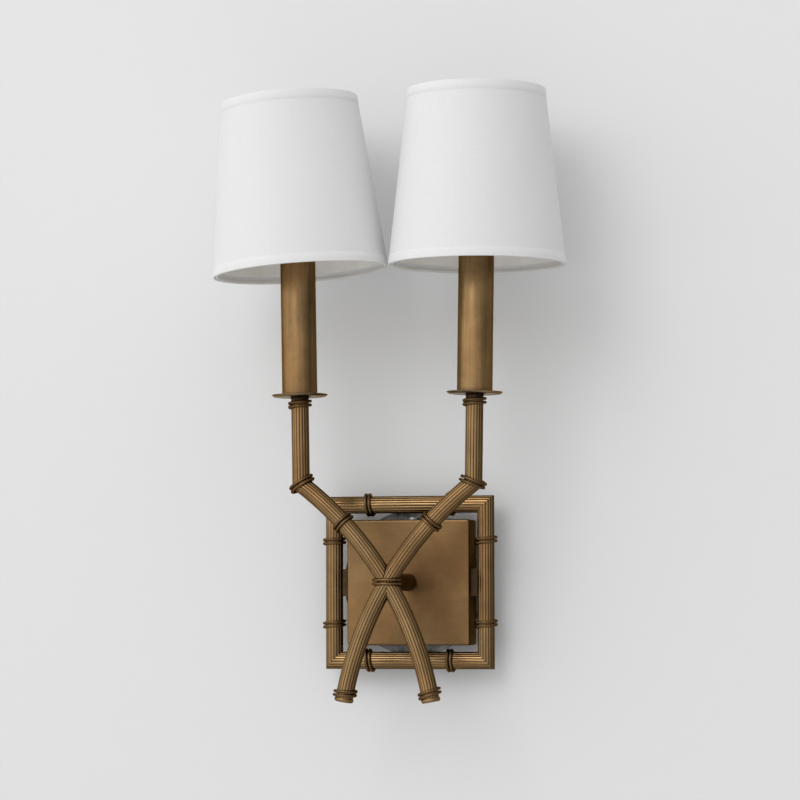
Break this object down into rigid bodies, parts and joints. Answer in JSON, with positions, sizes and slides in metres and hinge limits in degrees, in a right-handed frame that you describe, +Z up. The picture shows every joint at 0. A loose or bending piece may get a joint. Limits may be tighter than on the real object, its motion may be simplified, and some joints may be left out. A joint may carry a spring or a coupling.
{
  "type": "double arm wall sconce",
  "caption": "Wall sconce of reeded brass tube: a square frame and backplate carry crossed arms with wire bindings, candle tubes and tapered fabric clip-on shades.",
  "frame": {"origin": "middle of the wall bracket's rear face, on the wall plane", "axes": "+Z up, +Y into the wall, +X to the right seen from the room"},
  "size_m": [0.2567, 0.1523, 0.4394],
  "materials": {
    "antique_brass": "satin antique brass, brushed along the tubes",
    "dark_wire": "darkened brass wire",
    "zinc": "bright zinc plate",
    "phenolic": "moulded phenolic",
    "shell_brass": "bright brass",
    "opal_glass": "opal",
    "spring_steel": "drawn wire and strip",
    "linen": "plain weave linen on a white liner",
    "ring_white": "white enamel"
  },
  "bodies": {
    "sconce": {"wall_bracket": "zinc", "ground_screw": "zinc", "backplate": "antique_brass", "set_screws": "zinc", "frame_rail_top": "antique_brass", "frame_rail_right": "antique_brass", "frame_rail_bottom": "antique_brass", "frame_rail_left": "antique_brass", "frame_tabs": "antique_brass", "arm_through": "antique_brass", "arm_upper_left": "antique_brass", "arm_lower_right": "antique_brass", "arm_post": "antique_brass", "post_washer": "zinc", "post_nut": "zinc", "foot_caps": "antique_brass", "riser_left": "antique_brass", "riser_right": "antique_brass", "necks": "antique_brass", "drip_pans": "antique_brass", "candle_tubes": "antique_brass", "threaded_pipes": "zinc", "lock_nuts": "zinc", "sockets": "phenolic", "screw_shells": "shell_brass", "socket_contacts": "shell_brass", "wire_windings": "dark_wire"},
    "left_bulb": {"bulb_glass_left": "opal_glass", "bulb_cap_left": "shell_brass"},
    "left_clip": {"bulb_clip_left": "spring_steel"},
    "left_shade": {"shade_left": "linen", "shade_bottom_ring_left": "ring_white", "shade_carrier_left": "ring_white"},
    "right_bulb": {"bulb_glass_right": "opal_glass", "bulb_cap_right": "shell_brass"},
    "right_clip": {"bulb_clip_right": "spring_steel"},
    "right_shade": {"shade_right": "linen", "shade_bottom_ring_right": "ring_white", "shade_carrier_right": "ring_white"}
  },
  "joints": [
    {"name": "left_bulb_turn", "type": "hinge", "parent": "sconce", "child": "left_bulb", "pos_m": [-0.06656, -0.089, 0.26542], "axis": [-0.0157, 0, 0.9999], "range_deg": [0, 1080]},
    {"name": "left_clip_lift", "type": "slide", "parent": "left_bulb", "child": "left_clip", "axis": [-0.0157, 0, 0.9999], "range_m": [0, 0.09]},
    {"name": "left_shade_tilt", "type": "hinge", "parent": "left_clip", "child": "left_shade", "pos_m": [-0.06656, -0.089, 0.26542], "axis": [0, 1, 0], "range_deg": [-1, 12]},
    {"name": "right_bulb_turn", "type": "hinge", "parent": "sconce", "child": "right_bulb", "pos_m": [0.0666, -0.089, 0.26782], "axis": [0.0157, 0, 0.9999], "range_deg": [0, 1080]},
    {"name": "right_clip_lift", "type": "slide", "parent": "right_bulb", "child": "right_clip", "axis": [0.0157, 0, 0.9999], "range_m": [0, 0.09]},
    {"name": "right_shade_tilt", "type": "hinge", "parent": "right_clip", "child": "right_shade", "pos_m": [0.0666, -0.089, 0.26782], "axis": [0, 1, 0], "range_deg": [-10, 2]}
  ]
}
